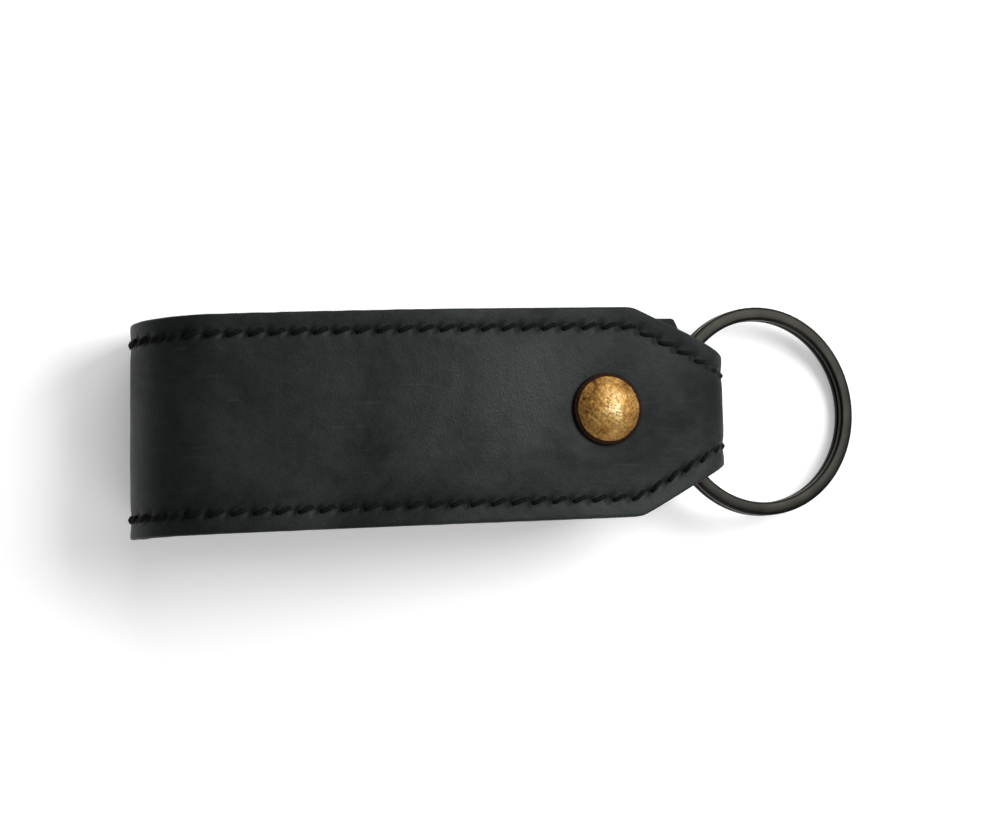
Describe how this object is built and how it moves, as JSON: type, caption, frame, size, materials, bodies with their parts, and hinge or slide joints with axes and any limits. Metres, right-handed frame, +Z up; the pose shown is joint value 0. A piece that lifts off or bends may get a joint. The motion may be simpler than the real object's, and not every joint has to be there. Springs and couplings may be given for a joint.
{
  "type": "wristlet keychain",
  "caption": "Wristlet keychain: a stitched two-layer leather strap folded into a hand loop and riveted round a flat split ring.",
  "frame": {"origin": "middle of the length and width, on the surface that the keychain lies on", "axes": "+X along the strap towards the split ring, +Y across the strap, +Z up through the hand loop"},
  "size_m": [0.1352, 0.039, 0.027],
  "materials": {
    "strap_leather": "oiled matte",
    "lining_leather": "matte",
    "seam_thread": "waxed",
    "rivet_cap": "antique, pitted",
    "rivet_core": "dull",
    "ring_steel": "gunmetal, brushed"
  },
  "bodies": {
    "strap": {"outer_leather": "strap_leather", "lining_leather": "lining_leather", "seam_thread_left_outer": "seam_thread", "seam_thread_right_outer": "seam_thread", "seam_thread_left_inner": "seam_thread", "seam_thread_right_inner": "seam_thread", "rivet_front_cap": "rivet_cap", "rivet_back_cap": "rivet_cap", "rivet_socket": "rivet_core", "rivet_post": "rivet_core"},
    "ring": {"split_ring": "ring_steel"}
  },
  "joints": [
    {"name": "ring_swing", "type": "hinge", "parent": "strap", "child": "ring", "pos_m": [0.0326, 0, 0.0104], "axis": [0, 1, 0], "range_deg": [-20, 20]}
  ]
}
